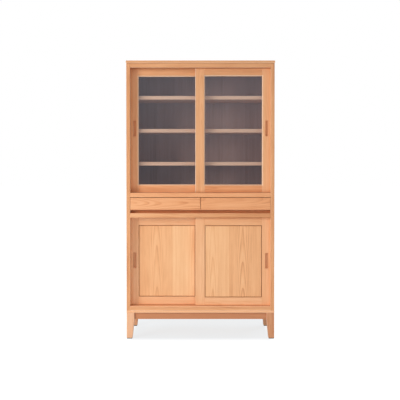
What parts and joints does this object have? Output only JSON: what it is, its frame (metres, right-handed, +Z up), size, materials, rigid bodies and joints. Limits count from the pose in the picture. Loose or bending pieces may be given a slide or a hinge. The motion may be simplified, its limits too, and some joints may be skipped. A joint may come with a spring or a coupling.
{
  "type": "dining cabinet",
  "caption": "Tall free-standing wooden cabinet with sliding glass doors above, drawers pulled by a finger gap, and sliding panelled doors below, on tapered legs.",
  "frame": {"origin": "on the floor, in the middle of the cabinet's plan", "axes": "+Z up, +Y towards the back, +X to the right as seen from the front"},
  "size_m": [1.006, 0.43, 1.88],
  "materials": {
    "cherry_wood": "satin oil",
    "cherry_panel": "satin oil",
    "back_board": "satin",
    "drawer_wood": "matt",
    "glass": "polished",
    "slip_strip": "smooth",
    "glide_felt": "matt",
    "pin_metal": "satin",
    "screw_steel": "bright"
  },
  "bodies": {
    "carcass": {"base_plate": "cherry_wood", "base_screws": "screw_steel", "bottom_panel": "cherry_wood", "drawer_partition": "cherry_wood", "drawer_runners": "cherry_wood", "finger_rail": "cherry_wood", "floor_glides": "glide_felt", "front_apron": "cherry_wood", "front_left_leg": "cherry_wood", "front_right_leg": "cherry_wood", "left_apron": "cherry_wood", "left_side_panel": "cherry_wood", "lower_back_panel": "back_board", "lower_door_slips": "slip_strip", "lower_shelf": "cherry_wood", "middle_deck": "cherry_wood", "rear_apron": "cherry_wood", "rear_left_leg": "cherry_wood", "rear_right_leg": "cherry_wood", "right_apron": "cherry_wood", "right_side_panel": "cherry_wood", "shelf_pins": "pin_metal", "top_board": "cherry_wood", "top_panel": "cherry_wood", "upper_back_panel": "back_board", "upper_door_slips": "slip_strip", "upper_shelf_bottom": "cherry_wood", "upper_shelf_middle": "cherry_wood", "upper_shelf_top": "cherry_wood", "upper_sill": "cherry_wood"},
    "upper_left_door": {"upper_left_door_bottom_rail": "cherry_wood", "upper_left_door_glass": "glass", "upper_left_door_glazing_beads": "cherry_wood", "upper_left_door_meeting_stile": "cherry_wood", "upper_left_door_outer_stile": "cherry_wood", "upper_left_door_top_rail": "cherry_wood"},
    "upper_right_door": {"upper_right_door_bottom_rail": "cherry_wood", "upper_right_door_glass": "glass", "upper_right_door_glazing_beads": "cherry_wood", "upper_right_door_meeting_stile": "cherry_wood", "upper_right_door_outer_stile": "cherry_wood", "upper_right_door_top_rail": "cherry_wood"},
    "lower_left_door": {"lower_left_door_bottom_rail": "cherry_wood", "lower_left_door_meeting_stile": "cherry_wood", "lower_left_door_outer_stile": "cherry_wood", "lower_left_door_panel": "cherry_panel", "lower_left_door_top_rail": "cherry_wood"},
    "lower_right_door": {"lower_right_door_bottom_rail": "cherry_wood", "lower_right_door_meeting_stile": "cherry_wood", "lower_right_door_outer_stile": "cherry_wood", "lower_right_door_panel": "cherry_panel", "lower_right_door_top_rail": "cherry_wood"},
    "left_drawer": {"left_drawer_back": "drawer_wood", "left_drawer_bottom": "drawer_wood", "left_drawer_front": "cherry_wood", "left_drawer_sides": "drawer_wood"},
    "right_drawer": {"right_drawer_back": "drawer_wood", "right_drawer_bottom": "drawer_wood", "right_drawer_front": "cherry_wood", "right_drawer_sides": "drawer_wood"}
  },
  "joints": [
    {"name": "upper_left_door_slide", "type": "slide", "parent": "carcass", "child": "upper_left_door", "axis": [1, 0, 0], "range_m": [0, 0.443]},
    {"name": "upper_right_door_slide", "type": "slide", "parent": "carcass", "child": "upper_right_door", "axis": [1, 0, 0], "range_m": [-0.439, 0.004]},
    {"name": "lower_left_door_slide", "type": "slide", "parent": "carcass", "child": "lower_left_door", "axis": [1, 0, 0], "range_m": [0, 0.443]},
    {"name": "lower_right_door_slide", "type": "slide", "parent": "carcass", "child": "lower_right_door", "axis": [1, 0, 0], "range_m": [-0.439, 0.004]},
    {"name": "left_drawer_slide", "type": "slide", "parent": "carcass", "child": "left_drawer", "axis": [0, -1, 0], "range_m": [0, 0.28]},
    {"name": "right_drawer_slide", "type": "slide", "parent": "carcass", "child": "right_drawer", "axis": [0, -1, 0], "range_m": [0, 0.28]}
  ]
}
